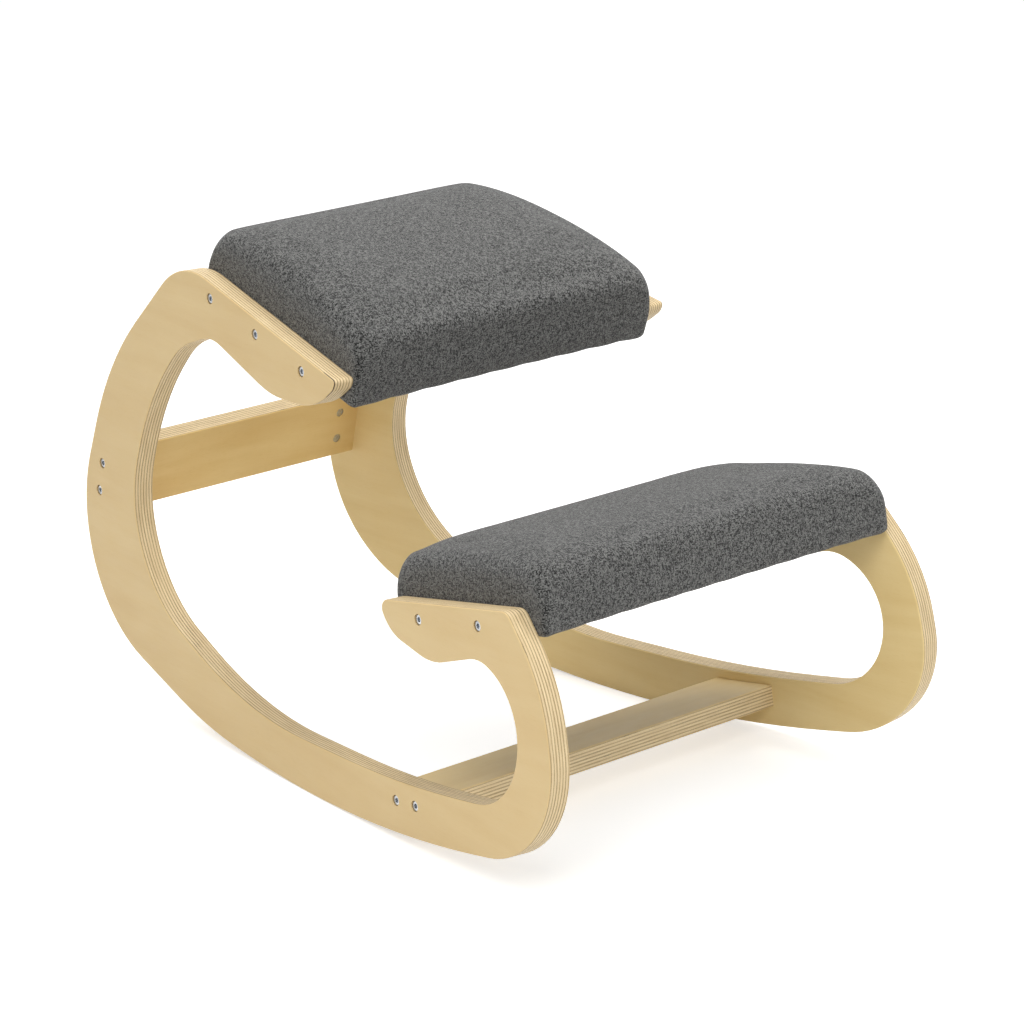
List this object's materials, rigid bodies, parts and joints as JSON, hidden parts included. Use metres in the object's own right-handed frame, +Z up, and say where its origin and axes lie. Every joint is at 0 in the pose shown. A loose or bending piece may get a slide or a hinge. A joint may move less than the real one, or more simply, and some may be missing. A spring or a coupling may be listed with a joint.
{
  "type": "rocking kneeling chair",
  "caption": "Rocking kneeling chair with curved plywood side frames, flat crossbars, a forward-sloping padded seat and a padded knee rest.",
  "frame": {"origin": "on the floor under the middle of the chair, with the chair standing as in the picture", "axes": "+X towards the sitter's left, +Y towards the rear, +Z up; the sitter faces -Y"},
  "size_m": [0.5462, 0.8508, 0.5489],
  "materials": {
    "plywood": "clear satin lacquer on birch plywood",
    "pad_wood": "raw",
    "upholstery": "dark grey woven linen look",
    "foam": "open-cell foam",
    "dust_cover": "black non-woven",
    "zinc": "zinc plated"
  },
  "bodies": {
    "root": {"right_side_frame": "plywood", "left_side_frame": "plywood", "rear_crossbar": "plywood", "front_crossbar": "plywood", "seat_bolts_right": "zinc", "seat_bolts_left": "zinc", "knee_bolts_right": "zinc", "knee_bolts_left": "zinc", "rear_crossbar_bolts_right": "zinc", "rear_crossbar_bolts_left": "zinc", "front_crossbar_bolts_right": "zinc", "front_crossbar_bolts_left": "zinc", "rear_barrel_nuts_right": "zinc", "rear_barrel_nuts_left": "zinc", "front_barrel_nuts_right": "zinc", "front_barrel_nuts_left": "zinc", "seat_base_panel": "pad_wood", "seat_right_rail": "pad_wood", "seat_left_rail": "pad_wood", "seat_front_rail": "pad_wood", "seat_rear_rail": "pad_wood", "seat_foam": "foam", "seat_cover": "upholstery", "seat_dust_cover": "dust_cover", "seat_panel_screws": "zinc", "seat_cover_staples": "zinc", "seat_inserts_right": "zinc", "seat_inserts_left": "zinc", "knee_base_panel": "pad_wood", "knee_right_rail": "pad_wood", "knee_left_rail": "pad_wood", "knee_front_rail": "pad_wood", "knee_rear_rail": "pad_wood", "knee_foam": "foam", "knee_cover": "upholstery", "knee_dust_cover": "dust_cover", "knee_panel_screws": "zinc", "knee_cover_staples": "zinc", "knee_inserts_right": "zinc", "knee_inserts_left": "zinc"}
  },
  "joints": []
}
